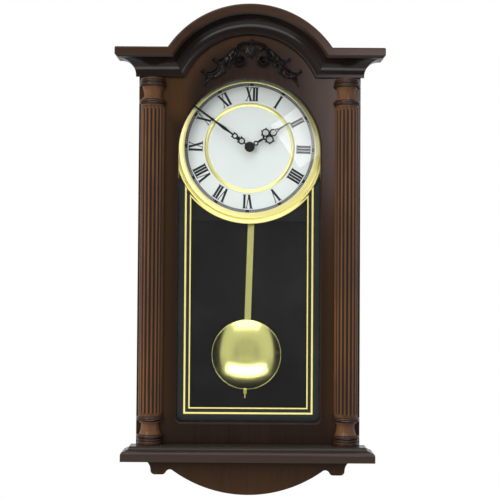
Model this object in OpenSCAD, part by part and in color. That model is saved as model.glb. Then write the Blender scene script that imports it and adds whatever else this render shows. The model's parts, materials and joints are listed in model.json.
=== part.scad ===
// Arched wall clock: a wooden case with a hinged glazed front, fluted half
// columns, a Roman dial, a quartz chime movement and a swinging pendulum.
// X is to the right, Y runs back to the wall (the wall is at Y = 0) and Z is up.
// The modules work from the hand arbor at Z = 0; placed() then moves the
// finished clock so that its origin is the round hole of the hanger plate.

/* [Door panel] */
// Width of the door panel
door_w = 251; // [248:0.5:254]
// Thickness of the door panel
door_t = 15; // [14:0.5:16]
// Half width of the glazed opening, also its arch radius
opening_r = 80.5; // [79:0.5:81.5]
// Height of the opening's bottom edge, below the arbor
opening_drop = 313.4; // [310:0.2:316]

/* [Crown moulding] */
// Radius of the crown's outer arch
crown_r = 110.6; // [109:0.2:112]
// Height of the crown's arch centre above the arbor
crown_arch_z = 43.8; // [42:0.2:45]
// Height of the moulding from its lower edge to its top
crown_h = 29.4; // [28:0.2:31]
// How far the moulding stands out from the door
crown_out = 25; // [24:0.5:26]

/* [Columns] */
// Distance of each column's axis from the centre line
column_x = 110; // [109:0.2:110.4]
// Radius of the fluted shaft
shaft_r = 13.5; // [13:0.1:14]
// Radius of the turned rings
ring_r = 15.5; // [15:0.1:15.8]
// Flutes across the visible half
flutes = 9; // [7:2:11]

/* [Dial and hands] */
// Radius of the white dial
dial_r = 80; // [79:0.5:81]
// Inner radius of the brass bezel
bezel_r_in = 75.8; // [75:0.1:76]
// Outer radius of the brass bezel
bezel_r_out = 88; // [87:0.5:88.5]
// How far the dial plate sits turned clockwise
dial_turn = 1.7; // [0:0.1:2]
// Length of the minute hand from the arbor
minute_len = 79.5; // [74:0.5:80]
// Length of the hour hand from the arbor
hour_len = 54.4; // [50:0.2:56]
// Direction of the minute hand at rest, clockwise from twelve
minute_angle = 306.3; // [0:0.1:360]
// Direction of the hour hand at rest, clockwise from twelve
hour_angle = 58; // [0:0.1:360]

/* [Pendulum] */
// Radius of the bob
bob_r = 41; // [38:0.5:43]
// Distance from the pendulum's pivot to the bob's centre
bob_drop = 211; // [205:1:213]
// Swing of the pendulum at rest, towards the left
swing_rest = 1.67; // [0:0.01:2]

/* [Hidden] */
$fn = 64;
eps = 0.01;
play = 0.05;          // radial clearance of a running fit or a screw hole
far = 400;            // longer than anything it cuts

hanger_z = 76;        // hanger hole above the arbor

// depths, from the wall forwards
case_front = -84;
door_back = -85;
door_front = door_back - door_t;
door_hw = door_w / 2;

// case
case_hw = 119;
side_t = 11;
inner_hw = case_hw - side_t;
case_top = 100;
case_bottom = -348;
board_t = 10;         // top and bottom panels
back_t = 4;
inner_top = case_top - board_t;
inner_bottom = case_bottom + board_t;

// crown, base and apron
crown_rise = 62;      // straight top edges above the arch centre
crown_top = crown_arch_z + crown_rise;
crown_bottom = crown_top - crown_h;
crown_r_in = crown_r - crown_h;
panel_setback = 4;
base_top = -337.5;
base_h = 15.5;
base_bottom = base_top - base_h;
base_hw = 140;
base_out = 27;
apron_r = 145;
apron_bottom = -394.2;
foot_z = -371.9;      // bottom of the two feet beside the apron's arc
foot_r = 4.8;         // their rounded corners
foot_out = 104.2;     // centre of each foot's outer corner
shoulder_r = 12.8;    // hollow above the foot
apron_hw = 113.5;
notch_r = 5;          // hollow between a foot and the arc
notch_z = -371.2;

// glazing
rabbet = 6;
glass_t = 2;
glass_back = door_back - 4;
glass_hw = opening_r + 5;
opening_z = -5.8;     // centre of the opening's arch
corner_r = 5;
chamfer = 1.8;

// dial stack
dial_board_back = -66;
dial_board_t = 6;
dial_back = dial_board_back - dial_board_t;
dial_t = 2;
dial_face = dial_back - dial_t;
print_t = 0.15;

// movement housing
house_x = 36;
house_bottom = -40;
house_top = 62;
house_front = dial_board_back;
house_mid = -52;
house_back = -38;
wall = 1.6;

// gear train: module, and the depth of each layer's front face
gear_m = 0.5;
gear_t = 1.2;
layer_hour = -63.6;
layer_minute = -61.4;
layer_center = -59.2;
layer_third = -57;
layer_fourth = -54.8;
post_r = 1;
bore_r = post_r + play;
hour_teeth = 32;
hour_pinion = 8;
minute_teeth = 30;
cannon_teeth = 10;
knob_teeth = 10;
center_teeth = 60;
third_teeth = 64;
fourth_teeth = 24;
pinion_teeth = 8;
// distance between the axes of two wheels in mesh
function mesh_gap(a, b) = (a + b) * gear_m / 2;
motion_x = mesh_gap(cannon_teeth, minute_teeth);
knob_x = motion_x + mesh_gap(minute_teeth, knob_teeth);
third_dir = 135;                      // from the arbor to the third wheel's axis
third_x = mesh_gap(center_teeth, pinion_teeth) * cos(third_dir);
third_z = mesh_gap(center_teeth, pinion_teeth) * sin(third_dir);
fourth_dir = 250;                     // from there to the fourth wheel's axis
fourth_x = third_x + mesh_gap(third_teeth, pinion_teeth) * cos(fourth_dir);
fourth_z = third_z + mesh_gap(third_teeth, pinion_teeth) * sin(fourth_dir);

// pendulum
pivot_x = 3.9;
pivot_z = -30;
swing_y = -50;
rod_w = 7.4;
rod_t = 1.2;
shell_t = 0.8;
stud_r = 1.5;

// hinges
hinge_x = 121;
hinge_y = -81;
hinge_zs = [58, -300];
knuckle_r = 2.5;
pin_r = 1.2;
leaf_t = 1;

// ---------------------------------------------------------------- helpers

module placed() {
    translate([0, 0, -hanger_z]) children();
}

// a drawing in X and Z, filled from depth y0 back to depth y1
module along_y(y0, y1) {
    translate([0, y1, 0]) rotate([90, 0, 0]) linear_extrude(y1 - y0) children();
}

// a drawing in Y and Z, filled from x0 to x1
module along_x(x0, x1) {
    translate([x0, 0, 0]) rotate([90, 0, 90]) linear_extrude(x1 - x0) children();
}

// a drawing of radius and distance in front of the wall, turned about a Y axis
module turned_about_y() {
    rotate([90, 0, 0]) rotate_extrude() children();
}

// a round bar along Y from depth y0 back to depth y1
module bar_y(x, z, r, y0, y1) {
    translate([x, y1, z]) rotate([90, 0, 0]) cylinder(r = r, h = y1 - y0);
}

module box(x0, x1, y0, y1, z0, z1) {
    translate([x0, y0, z0]) cube([x1 - x0, y1 - y0, z1 - z0]);
}

module rounded_rect(x0, x1, z0, z1, r) {
    translate([x0 + r, z0]) square([x1 - x0 - 2 * r, z1 - z0]);
    translate([x0, z0 + r]) square([x1 - x0, z1 - z0 - 2 * r]);
    for (x = [x0 + r, x1 - r])
        for (z = [z0 + r, z1 - r])
            translate([x, z]) circle(r);
}

module mirrored_x() {
    children();
    mirror([1, 0, 0]) children();
}

// cross-head screw whose head faces +Z, with the shank running down
module screw(length, shank_r, head_r, head_h) {
    slot = head_r * 0.3;
    difference() {
        union() {
            cylinder(r = head_r, h = head_h);
            translate([0, 0, -length]) cylinder(r = shank_r, h = length + eps);
        }
        for (a = [0, 90])
            rotate(a) translate([-head_r * 0.65, -slot / 2, head_h * 0.5])
                cube([head_r * 1.3, slot, head_h]);
    }
}

// screw driven forwards from the rear, its head's rear face at depth y
module rear_screw(x, y, z, length, shank_r, head_r, head_h) {
    translate([x, y - head_h, z]) rotate([-90, 0, 0]) screw(length, shank_r, head_r, head_h);
}

// ---------------------------------------------------------------- case

back_screws = [for (x = [-1, 1], z = [-330, -180, -60, 86]) [x * (inner_hw + 3), z]];

module back_screw_holes() {
    for (s = back_screws) bar_y(s[0], s[1], 1.5 + play, -17, 1);
}

module side_panel() {
    difference() {
        box(-case_hw, -inner_hw, case_front, 0, case_bottom, case_top);
        // rabbet that takes the back panel
        box(-case_hw + 5, -inner_hw + 1, -back_t, 1, case_bottom - 1, case_top + 1);
        back_screw_holes();
    }
}

module left_side_panel() {
    color("saddlebrown") side_panel();
}

module right_side_panel() {
    color("saddlebrown") difference() {
        mirror([1, 0, 0]) side_panel();
        // seats of the hinges
        for (z = hinge_zs)
            box(case_hw - leaf_t, case_hw + 1, hinge_y - 2, hinge_y + 20, z - 17, z + 17);
    }
}

module top_panel() {
    color("saddlebrown")
        box(-inner_hw, inner_hw, case_front, -back_t, inner_top, case_top);
}

module bottom_panel() {
    color("saddlebrown")
        box(-inner_hw, inner_hw, case_front, -back_t, case_bottom, inner_bottom);
}

speaker_x = -72;
speaker_z = 14;
speaker_r = 25;
plate_hw = 20;        // hanger plate half width
plate_h = 18;         // its height
plate_t = 1.5;
keyhole_r = 5;
keyhole_slot = 4.5;
keyhole_rise = 7;

module back_panel() {
    color([0.09, 0.09, 0.1]) difference() {
        box(-case_hw + 5.1, case_hw - 5.1, -back_t, 0, case_bottom, case_top);
        // access opening behind the movement
        along_y(-back_t - 1, 1) rounded_rect(-46, 46, -34, 64, 4);
        // pocket of the hanger plate, and room for the wall screw's head
        box(-plate_hw - play, plate_hw + play, -plate_t - play, 1,
            hanger_z - 8 - play, hanger_z - 8 + plate_h + play);
        along_y(-back_t - 1, 1) rounded_rect(-8, 8, hanger_z - 7, hanger_z + 9.6, 3);
        for (x = hanger_screw_xs) bar_y(x, hanger_z + 1, 1.2 + play, -back_t - 1, 1);
        // sound slots behind the speaker
        for (i = [-3:3])
            along_y(-back_t - 1, 1)
                rounded_rect(speaker_x - 16, speaker_x + 16, speaker_z + 5.4 * i - 1.2,
                             speaker_z + 5.4 * i + 1.2, 1.1);
        // counterbored screw holes
        for (s = back_screws) {
            bar_y(s[0], s[1], 1.5 + play, -back_t - 1, 1);
            bar_y(s[0], s[1], 2.6, -1.8, 1);
        }
    }
}

module back_panel_screws() {
    color("silver")
        for (s = back_screws) rear_screw(s[0], -0.2, s[1], 12, 1.5, 2.5, 1.6);
}

hanger_screw_xs = [-14, 14];

// countersunk screw driven forwards, its flat head flush with y = 0
module countersunk_screw(x, z, grow = 0) {
    bar_y(x, z, 1.2 + grow, -3.7 - grow, 0);
    translate([x, -1.3, z]) rotate([-90, 0, 0])
        cylinder(r1 = 1.2 + grow, r2 = 2.4 + grow, h = 1.3);
}

// steel plate with a round hole for the wall screw's head and a slot above it
module hanger_plate() {
    color("silver") difference() {
        along_y(-plate_t, 0) difference() {
            rounded_rect(-plate_hw, plate_hw, hanger_z - 8, hanger_z - 8 + plate_h, 2);
            translate([0, hanger_z]) circle(keyhole_r);
            translate([-keyhole_slot / 2, hanger_z]) square([keyhole_slot, keyhole_rise]);
            translate([0, hanger_z + keyhole_rise]) circle(keyhole_slot / 2);
        }
        for (x = hanger_screw_xs) countersunk_screw(x, hanger_z + 1, play);
    }
}

module hanger_screws() {
    color("silver") for (x = hanger_screw_xs) countersunk_screw(x, hanger_z + 1);
}

// ---------------------------------------------------------------- dial

dial_screws = [for (x = [-1, 1], z = [-76, 80]) [x * 96, z]];

module dial_board() {
    color([0.07, 0.07, 0.08]) difference() {
        box(-inner_hw + 0.2, inner_hw - 0.2, dial_back, dial_board_back, -84, inner_top - 0.2);
        bar_y(0, 0, neck_r + 0.3, dial_back - 1, dial_board_back + 1);
        for (s = dial_screws) bar_y(s[0], s[1], 1.5 + play, dial_back - 1, dial_board_back + 1);
    }
    // blocks behind the board that carry it on the side panels
    color([0.07, 0.07, 0.08]) for (x = [-1, 1]) for (z = [-76, 80]) difference() {
        box(x > 0 ? 86 : -inner_hw + 0.2, x > 0 ? inner_hw - 0.2 : -86,
            dial_board_back, dial_board_back + 14, z - 6, z + 6);
        bar_y(x * 96, z, 1.5 + play, dial_board_back - 1, dial_board_back + 15);
    }
}

module dial_board_screws() {
    color("silver")
        for (s = dial_screws)
            translate([s[0], dial_back, s[1]]) rotate([90, 0, 0]) screw(17, 1.5, 3, 1.6);
}

module dial_plate() {
    color("white") along_y(dial_face, dial_back) difference() {
        circle(dial_r);
        circle(neck_r + 0.2);
    }
}

track_in = 72;
track_out = 75.3;
track_line = 0.45;

module ring_2d(r_in, r_out) {
    difference() {
        circle(r_out);
        circle(r_in);
    }
}

// printed minute track: two circles joined by sixty marks
module minute_track() {
    color("black") along_y(dial_face - print_t, dial_face) rotate(-dial_turn) {
        ring_2d(track_in, track_in + track_line);
        ring_2d(track_out - track_line, track_out);
        // four bars to the minute, with a block at every fifth minute
        for (i = [0:239]) {
            w = i % 20 == 0 ? 2.6 : 1.3;
            rotate(1.5 * i) translate([-w / 2, track_in + 0.1])
                square([w, track_out - track_in - 0.2]);
        }
    }
}

numeral_in = 54.4;
numeral_out = 70.6;
thick = 2.6;          // heavy stroke of a numeral
thin = 0.9;           // light stroke and serifs

// a slanted stroke from (x0, bottom) to (x1, top), w wide
module stroke(x0, x1, w) {
    polygon([[x0 - w / 2, numeral_in], [x0 + w / 2, numeral_in],
             [x1 + w / 2, numeral_out], [x1 - w / 2, numeral_out]]);
}

module serif(x, w, at_top) {
    z = at_top ? numeral_out - thin : numeral_in;
    translate([x - w / 2, z]) square([w, thin]);
}

module letter_i() {
    stroke(0, 0, thick);
    serif(0, thick + 1.3, true);
    serif(0, thick + 1.3, false);
}

module letter_v() {
    stroke(0.4, -2.7, thick);
    stroke(0.4, 2.9, thin);
    serif(-2.7, thick + 1.5, true);
    serif(2.9, 2.4, true);
}

module letter_x() {
    stroke(2.6, -2.6, thick);
    stroke(-2.7, 2.7, thin);
    serif(-2.6, thick + 1.5, true);
    serif(2.7, 2.4, true);
    serif(2.6, thick + 1.5, false);
    serif(-2.7, 2.4, false);
}

// each hour's letters as [kind, offset along the ring]
i_gap = 3.3;
hours = [
    [["i", 0]],
    [["i", -i_gap / 2], ["i", i_gap / 2]],
    [["i", -i_gap], ["i", 0], ["i", i_gap]],
    [["i", -1.5 * i_gap], ["i", -0.5 * i_gap], ["i", 0.5 * i_gap], ["i", 1.5 * i_gap]],
    [["v", 0]],
    [["v", -1.6], ["i", 3.9]],
    [["v", -3.4], ["i", 2.1], ["i", 2.1 + i_gap]],
    [["v", -5.1], ["i", 0.4], ["i", 0.4 + i_gap], ["i", 0.4 + 2 * i_gap]],
    [["i", -4.4], ["x", 1.3]],
    [["x", 0]],
    [["x", -1.4], ["i", 4.4]],
    [["x", -3], ["i", 2.8], ["i", 2.8 + i_gap]]
];

module numerals() {
    color("black") along_y(dial_face - print_t, dial_face)
        for (h = [1:12])
            rotate(-30 * h - dial_turn)
                for (part = hours[h - 1])
                    translate([part[1], 0])
                        if (part[0] == "i") letter_i();
                        else if (part[0] == "v") letter_v();
                        else letter_x();
}

// half-round brass ring inside the numerals
inner_ring_r = 50.2;
inner_ring_w = 4.4;

module dial_inner_ring() {
    front = -dial_face;
    color("gold") turned_about_y() intersection() {
        translate([inner_ring_r, front - 1]) circle(inner_ring_w / 2 + 0.2);
        translate([inner_ring_r - inner_ring_w / 2, front]) square([inner_ring_w, 3]);
    }
}

// pressed brass bezel: a wide slope, fine ridges and a rolled rim, hollow behind
module bezel() {
    r0 = bezel_r_in;
    r1 = bezel_r_out;
    roll = 2.3;
    rim = [for (a = [150:-10:0]) [r1 - roll + roll * cos(a), 3.3 + roll * sin(a)]];
    front = [[r0, 0], [r0, 0.9], [r0 + 0.6, 1.3], [r0 + 5.2, 2.9], [r0 + 5.6, 2.9],
             [r0 + 5.9, 3.6], [r0 + 6.5, 3.6], [r0 + 6.8, 3], [r0 + 7.4, 3]];
    inside = [[r1, -dial_t], [r1 - 1.4, -dial_t], [r1 - 1.4, 2.6], [r1 - 2.6, 3.7],
              [r0 + 7.4, 1.9], [r0 + 4.6, 1.3], [r0 + 2.6, 0]];
    color("gold") turned_about_y() translate([0, -dial_face]) polygon(concat(front, rim, inside));
}

// ---------------------------------------------------------------- movement

bay_z0 = 30;          // battery bay, open to the rear
bay_z1 = 60;
bay_hw = 28;
cover_back = house_back + 1.5;
cell_r = 7.2;
cell_len = 48.5;
cell_y = -46.6;
cell_zs = [37.6, 52.4];
coil_z = -14;         // pendulum coil
rotor_x = 10;
rotor_z = 7;
switch_x = -21;
switch_z = 16;
lead_z = 2;
pendulum_slot_x0 = pivot_x - 9;
pendulum_slot_x1 = pivot_x + 9;

module housing_outline(inset = 0) {
    rounded_rect(-house_x + inset, house_x - inset, house_bottom + inset,
                 house_top - inset, 4 - inset);
}

// slot in the floor through which the pendulum's lever hangs
module lever_slot() {
    box(pendulum_slot_x0, pendulum_slot_x1, swing_y - 3, swing_y + 7,
        house_bottom - 1, house_bottom + wall + 1);
}

neck_r = 4;           // threaded neck through the dial
neck_front = dial_face - 3.5;

module movement_front_housing() {
    color([0.12, 0.12, 0.13]) difference() {
        union() {
            difference() {
                along_y(house_front, house_mid) housing_outline();
                along_y(house_front + wall, house_mid + 1) housing_outline(wall);
            }
            bar_y(0, 0, neck_r, neck_front, house_front + eps);
            // fixed posts that the wheels turn on
            bar_y(motion_x, 0, post_r, house_front + 1, layer_center - 0.4);
            bar_y(third_x, third_z, post_r, house_front + 1, layer_third + gear_t + 0.6);
            bar_y(fourth_x, fourth_z, post_r, house_front + 1, layer_fourth + gear_t + 0.6);
            bar_y(pivot_x, pivot_z, 3, house_front + 1, -56);
        }
        bar_y(0, 0, pipe_r + play, neck_front - 1, house_front + wall + 1);
        bar_y(pivot_x, pivot_z, pin_hole_r, -63, house_mid + 1);
        lever_slot();
    }
}

pin_hole_r = 0.9 + play;

module movement_rear_cover() {
    inner = house_back - wall;
    color([0.12, 0.12, 0.13]) difference() {
        union() {
            difference() {
                along_y(house_mid, house_back) housing_outline();
                along_y(house_mid - 1, inner) housing_outline(wall);
            }
            // floor and end walls of the battery bay
            box(-house_x + 1, house_x - 1, house_mid, house_back, bay_z0 - wall, bay_z0);
            for (x = [-bay_hw - wall, bay_hw])
                box(x, x + wall, house_mid, house_back, bay_z0 - wall, house_top - 1);
            // bosses of the pendulum's pin and coil, the setting knob and the rotor
            bar_y(pivot_x, pivot_z, 3, -44, house_back - 0.5);
            bar_y(pivot_x, coil_z, 1.7, -45.6, house_back - 0.5);
            bar_y(knob_x, 0, 3, -44, house_back - 0.5);
            bar_y(rotor_x, rotor_z, 1.6, -46.4, house_back - 0.5);
            bar_y(rotor_x, rotor_z, 0.5, -49.8, -46.3);
            // grooved rails that hold the battery cover
            for (z = [[bay_z0 - 2.6, bay_z0 - 1.1, 1], [bay_z1 + 1.1, bay_z1 + 2, -1]]) {
                box(-30, 30, house_back - eps, cover_back + 1, z[0], z[1]);
                box(-30, 30, cover_back + play, cover_back + 1,
                    z[2] > 0 ? z[0] : z[0] - 1.1, z[2] > 0 ? z[1] + 1.1 : z[1]);
            }
        }
        // mouth of the battery bay
        box(-bay_hw, bay_hw, inner - 1, house_back + 1, bay_z0, bay_z1);
        bar_y(knob_x, 0, 1.5 + play, -46, house_back + 1);
        bar_y(pivot_x, pivot_z, pin_hole_r, -46, -39.5);
        // slot that the chime switch slides in
        box(switch_x - 7, switch_x + 7, inner - 1, house_back + 1, switch_z - 2, switch_z + 2);
        lever_slot();
        // opening for the speaker leads
        box(-house_x - 1, -house_x + wall + 1, -47, -43, lead_z - 2, lead_z + 2);
    }
}

module mounting_nut() {
    color("goldenrod") along_y(dial_face - 2, dial_face) difference() {
        circle(5.6, $fn = 6);
        circle(neck_r + play);
    }
}

module circuit_board() {
    color("darkgreen") difference() {
        box(-32, -15, -43.4, -42, -34, 26);
        for (z = [-31, 23]) bar_y(-29, z, 1, -44, -41);
    }
    // chime chip and the quartz crystal's can
    color([0.1, 0.1, 0.1]) box(-28, -20, -44.8, -43.4, -12, -4);
    color("silver") translate([-25, -44.6, -26]) cylinder(r = 1.5, h = 8);
}

motor_y = -48;        // plane of the stepping motor
core_x = 26;

module stepper_coil() {
    color("peru") difference() {
        translate([core_x, motor_y, -3]) cylinder(r = 4, h = 20);
        box(core_x - 2 - play, core_x + 2 + play, motor_y - 0.6 - play, motor_y + 0.6 + play, -4, 18);
    }
}

// laminated frame: its outer limb is the coil's core, its inner limb holds the rotor
module stepper_stator() {
    color("silver") along_y(motor_y - 0.6, motor_y + 0.6) difference() {
        translate([rotor_x - 4, -8]) square([core_x + 6 - rotor_x, 30]);
        translate([rotor_x + 4, -4]) square([core_x - rotor_x - 6, 22]);
        translate([rotor_x, rotor_z]) circle(2.5);
    }
}

module stepper_rotor() {
    color([0.3, 0.3, 0.32]) difference() {
        bar_y(rotor_x, rotor_z, 2.1, motor_y - 1, motor_y + 1);
        bar_y(rotor_x, rotor_z, 0.5 + play, motor_y - 2, motor_y + 2);
    }
}

module battery_cells() {
    color("slategray") for (i = [0, 1]) mirror([i, 0, 0])
        translate([-cell_len / 2 - 0.7, cell_y, cell_zs[i]]) rotate([0, 90, 0]) {
            cylinder(r = cell_r, h = cell_len);
            cylinder(r = 2.6, h = cell_len + 1.4);
        }
}

// a flat contact at one end of each cell and a coiled one at the other
module battery_contacts() {
    color("silver") for (i = [0, 1]) mirror([i, 0, 0]) {
        for (x = [-bay_hw, bay_hw - 0.5])
            box(x, x + 0.5, cell_y - 5, cell_y + 5, cell_zs[i] - 5, cell_zs[i] + 5);
        for (turn = [0:2])
            translate([-bay_hw + 0.49 + 0.84 * turn, cell_y, cell_zs[i]]) rotate([0, 90, 0])
                difference() {
                    cylinder(r = 3.6 - 0.5 * turn, h = 0.86);
                    translate([0, 0, -1]) cylinder(r = 2.3 - 0.5 * turn, h = 3);
                }
    }
}

module pendulum_coil() {
    color("peru") difference() {
        bar_y(pivot_x, coil_z, 6, -46.6, house_back - wall);
        bar_y(pivot_x, coil_z, 1.7 + play, -47, house_back);
    }
}

module pendulum_pivot_pin() {
    color("silver") bar_y(pivot_x, pivot_z, 0.9, -62.5, -40);
}

magnet_front = back_t + 19;   // speaker magnet's front, from the wall

module speaker_frame() {
    a = back_t;
    color([0.2, 0.2, 0.22]) translate([speaker_x, 0, speaker_z]) turned_about_y()
        difference() {
            union() {
                translate([0, a]) square([speaker_r, 1.6]);
                polygon([[0, a], [speaker_r - 2, a], [13, a + 14], [0, a + 14]]);
                translate([0, a + 13]) square([12, magnet_front - a - 13]);
            }
            polygon([[0, a - 1], [speaker_r - 3.4, a - 1], [speaker_r - 3.6, a + 1],
                     [11, a + 12.4], [0, a + 12.4]]);
        }
}

module speaker_cone() {
    a = back_t;
    color([0.1, 0.1, 0.1]) translate([speaker_x, 0, speaker_z]) turned_about_y()
        polygon([[0, a + 8], [6, a + 8.6], [speaker_r - 6, a + 1], [speaker_r - 5, a + 1],
                 [speaker_r - 5, a + 1.8], [7, a + 10.4], [0, a + 10.4]]);
}

// pair of leads from the speaker's magnet to the movement
module speaker_wires() {
    lead_x = speaker_x + 9;
    for (i = [0, 1]) {
        y = -45.9 + 1.8 * i;
        color(i == 0 ? "firebrick" : "black") translate([lead_x, y, lead_z]) {
            rotate([0, 90, 0]) cylinder(r = 0.6, h = -house_x + wall + 1 - lead_x);
            sphere(0.6);
            if (i == 1) rotate([-90, 0, 0]) cylinder(r = 0.6, h = -magnet_front - 0.2 - y);
        }
    }
}

// ---------------------------------------------------------------- gear train

// wheel with straight-sided teeth, one of them pointing up
module gear_2d(teeth) {
    pitch_r = teeth * gear_m / 2;
    root_r = pitch_r - 1.15 * gear_m;
    tip_r = pitch_r + 0.75 * gear_m;
    pitch = PI * gear_m;
    circle(root_r);
    for (i = [0:teeth - 1])
        rotate(360 / teeth * i)
            polygon([[-pitch * 0.24, root_r - 0.1], [-pitch * 0.21, pitch_r], [-pitch * 0.1, tip_r],
                     [pitch * 0.1, tip_r], [pitch * 0.21, pitch_r], [pitch * 0.24, root_r - 0.1]]);
}

// a toothed wheel one layer thick, turned anticlockwise
module wheel(x, z, teeth, layer, turn = 0) {
    translate([x, 0, z]) along_y(layer, layer + gear_t) rotate(turn) gear_2d(teeth);
}

// turn that points a tooth, or a gap, of a wheel in direction dir
function tooth_to(dir) = dir - 90;
function gap_to(teeth, dir) = dir - 90 + 180 / teeth;

arbor_r = 1.4;        // minute arbor
pipe_r = 2.6;         // hour pipe's outside
hand_t = 0.5;
hour_hand_y = dial_face - 5.9;        // front faces of the hands
minute_hand_y = hour_hand_y - 2.5;

// minute arbor with the cannon pinion and the centre wheel
module center_wheel() {
    color("goldenrod") {
        bar_y(0, 0, arbor_r, minute_hand_y - 1.2, layer_center + gear_t);
        wheel(0, 0, cannon_teeth, layer_minute, tooth_to(0));
        bar_y(0, 0, 1.9, layer_minute + gear_t - eps, layer_center + eps);
        wheel(0, 0, center_teeth, layer_center, tooth_to(third_dir));
    }
}

// hour wheel and the pipe that carries the hour hand
module hour_wheel() {
    color("white") difference() {
        union() {
            wheel(0, 0, hour_teeth, layer_hour, tooth_to(0));
            bar_y(0, 0, pipe_r, hour_hand_y - 0.4, layer_hour + eps);
        }
        bar_y(0, 0, arbor_r + play, -90, -60);
    }
}

module minute_wheel() {
    color("white") difference() {
        union() {
            wheel(motion_x, 0, minute_teeth, layer_minute, gap_to(minute_teeth, 180));
            wheel(motion_x, 0, hour_pinion, layer_hour, gap_to(hour_pinion, 180));
            bar_y(motion_x, 0, 1.4, layer_hour + gear_t - eps, layer_minute + eps);
        }
        bar_y(motion_x, 0, bore_r, -66, -58);
    }
}

module third_wheel() {
    color("white") difference() {
        union() {
            wheel(third_x, third_z, pinion_teeth, layer_center, gap_to(pinion_teeth, third_dir + 180));
            wheel(third_x, third_z, third_teeth, layer_third, tooth_to(fourth_dir));
            bar_y(third_x, third_z, 1.4, layer_center + gear_t - eps, layer_third + eps);
        }
        bar_y(third_x, third_z, bore_r, -66, -50);
    }
}

module fourth_wheel() {
    color("white") difference() {
        union() {
            wheel(fourth_x, fourth_z, pinion_teeth, layer_third, gap_to(pinion_teeth, fourth_dir + 180));
            wheel(fourth_x, fourth_z, fourth_teeth, layer_fourth, 0);
            bar_y(fourth_x, fourth_z, 1.4, layer_third + gear_t - eps, layer_fourth + eps);
        }
        bar_y(fourth_x, fourth_z, bore_r, -66, -50);
    }
}

// rear knob whose pinion meshes with the minute wheel
module hand_set_knob() {
    grips = 18;
    color([0.15, 0.15, 0.16]) {
        wheel(knob_x, 0, knob_teeth, layer_minute, tooth_to(180));
        bar_y(knob_x, 0, 1.5, layer_minute + gear_t - eps, -35);
        difference() {
            bar_y(knob_x, 0, 7, -36.6, -31);
            for (i = [1:grips])
                bar_y(knob_x + 7.4 * cos(360 / grips * i), 7.4 * sin(360 / grips * i), 0.9, -38, -30);
        }
    }
}

// ---------------------------------------------------------------- hands

module hand_outline_ring(x, z, r_out, r_in) {
    translate([x, z]) difference() {
        circle(r_out);
        circle(r_in);
    }
}

module minute_hand_2d() {
    difference() {
        union() {
            circle(4.6);
            polygon([[-1, 3], [-0.8, 8.6], [0.8, 8.6], [1, 3]]);
            // two open links, then a long leaf, a knot and a straight pointer
            hand_outline_ring(0, 11.4, 4.1, 2.5);
            polygon([[-1.8, 14.6], [-2.6, 16.4], [-1.7, 18.2], [1.7, 18.2], [2.6, 16.4], [1.8, 14.6]]);
            hand_outline_ring(0, 21.1, 3.5, 1.9);
            polygon([[-1.2, 23.6], [-1, 28], [-1.4, 32], [-2, 37], [-1.3, 45], [-0.9, 51],
                     [-1.7, 52.6], [-1.7, 54.2], [-1.2, 55.6], [-1.2, 66], [-0.9, minute_len],
                     [0.9, minute_len], [1.2, 66], [1.2, 55.6], [1.7, 54.2], [1.7, 52.6], [0.9, 51],
                     [1.3, 45], [2, 37], [1.4, 32], [1, 28], [1.2, 23.6]]);
            for (s = [-1, 1]) {
                translate([s * 3.6, 14.3]) circle(1);
                translate([s * 2.7, 23.8]) circle(0.9);
            }
        }
        circle(arbor_r + play);
    }
}

module hour_hand_2d() {
    difference() {
        union() {
            circle(4.6);
            polygon([[-1, 3], [-0.7, 6.2], [0.7, 6.2], [1, 3]]);
            hand_outline_ring(0, 8.6, 3, 1.5);
            polygon([[-0.9, 11], [-1.5, 14], [-0.8, 20], [0.8, 20], [1.5, 14], [0.9, 11]]);
            // trefoil of three open loops under the spear
            for (s = [-1, 1]) {
                hand_outline_ring(s * 4.5, 24.4, 4.8, 3.2);
                polygon([[s * 0.5, 18], [s * 3.6, 19.4], [s * 2.6, 21], [s * 0.2, 20.4]]);
                translate([s * 8.6, 27.6]) circle(0.8);
                translate([s * 4.6, 19.2]) circle(0.9);
                translate([s * 8.9, 21.6]) circle(0.7);
            }
            translate([0, 27.7]) circle(1.3);
            hand_outline_ring(0, 32, 4.4, 2.9);
            polygon([[-3.6, 34], [-1.2, 40], [-0.9, 43], [-0.6, hour_len], [0.6, hour_len],
                     [0.9, 43], [1.2, 40], [3.6, 34], [1.6, 36.4], [0, 37.6], [-1.6, 36.4]]);
        }
        circle(pipe_r + play);
    }
}

module minute_hand() {
    color("black") {
        along_y(minute_hand_y, minute_hand_y + hand_t) rotate(-minute_angle) minute_hand_2d();
        // domed cap nut over the arbor's end
        difference() {
            translate([0, minute_hand_y, 0]) intersection() {
                translate([0, 2.6, 0]) sphere(6.5);
                translate([-8, -3.4, -8]) cube([16, 3.4 + eps, 16]);
            }
            bar_y(0, 0, arbor_r + play, minute_hand_y - 1.3, minute_hand_y + 1);
        }
    }
}

module hour_hand() {
    color("black") {
        along_y(hour_hand_y, hour_hand_y + hand_t) rotate(-hour_angle) hour_hand_2d();
        along_y(hour_hand_y + hand_t - eps, hour_hand_y + hand_t + 1) ring_2d(pipe_r + play, 4.4);
    }
}

// ---------------------------------------------------------------- pendulum

// the pendulum is drawn hanging straight down from its pivot, then swung
module swung() {
    translate([pivot_x, 0, pivot_z]) rotate([0, swing_rest, 0]) children();
}

module pendulum_lever() {
    color([0.85, 0.85, 0.82]) swung() difference() {
        union() {
            bar_y(0, 0, 2.6, swing_y - 1.2, swing_y + 1.2);
            box(-2.2, 2.2, swing_y - 1.2, swing_y + 1.2, -22, 11);
            bar_y(0, 16, 6, swing_y - 1.2, swing_y + 1.2);
            // open hook that carries the rod
            box(-2.2, 2.2, swing_y - 4, swing_y + 1.2, -22, -18);
        }
        bar_y(0, 0, 0.9 + play, swing_y - 6, swing_y + 6);
        bar_y(0, 16, 4 + play, swing_y - 6, swing_y + 6);
    }
}

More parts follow.
